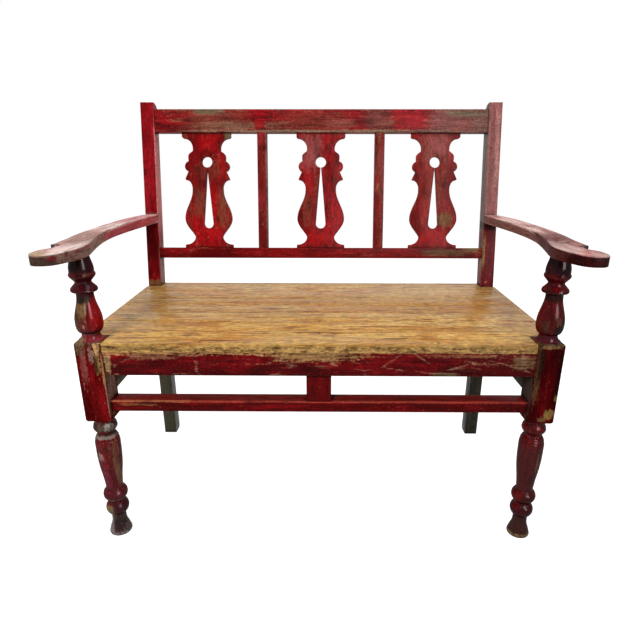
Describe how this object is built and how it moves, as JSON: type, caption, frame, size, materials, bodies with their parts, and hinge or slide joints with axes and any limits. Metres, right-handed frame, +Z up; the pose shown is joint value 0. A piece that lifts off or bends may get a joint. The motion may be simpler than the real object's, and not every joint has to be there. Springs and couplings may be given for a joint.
{
  "type": "hall bench",
  "caption": "Two-seat painted hall bench with turned front legs, pierced splat back, flat shaped arms and a plank seat on a stretchered frame.",
  "frame": {"origin": "on the floor under the centre of the whole bench", "axes": "+X along the bench to the sitter's left as seen from the front, that is to the viewer's right, +Y to the back, +Z up"},
  "size_m": [0.954, 0.6707, 0.8968],
  "materials": {
    "red_paint": "old crimson paint over pine, rubbed through at the edges, satin",
    "faded_paint": "faded dusty pink-red paint, worn to bare wood at the tips, matt",
    "waxed_pine": "bare pine boards, waxed, with dark streaks along the grain",
    "weathered_wood": "bare grey-brown weathered pine, dull",
    "nail_iron": "dark oxidised iron"
  },
  "bodies": {
    "root": {"front_leg_left": "red_paint", "front_leg_right": "red_paint", "rear_post_left": "red_paint", "rear_post_right": "red_paint", "crest_rail": "red_paint", "lower_back_rail": "red_paint", "back_mullion_left": "red_paint", "back_mullion_right": "red_paint", "splat_left": "red_paint", "splat_centre": "red_paint", "splat_right": "red_paint", "arm_left": "faded_paint", "arm_right": "faded_paint", "arm_wedges": "faded_paint", "front_apron": "red_paint", "back_seat_rail": "weathered_wood", "side_seat_rail_left": "red_paint", "side_seat_rail_right": "red_paint", "seat_bearer": "weathered_wood", "seat_board_front": "waxed_pine", "seat_board_second": "waxed_pine", "seat_board_third": "waxed_pine", "seat_board_back": "waxed_pine", "front_stretcher": "red_paint", "centre_strut": "red_paint", "side_stretcher_left": "weathered_wood", "side_stretcher_right": "weathered_wood", "rear_stretcher": "weathered_wood", "back_frame_pegs": "weathered_wood", "seat_frame_pegs": "weathered_wood", "seat_nails": "nail_iron"}
  },
  "joints": []
}
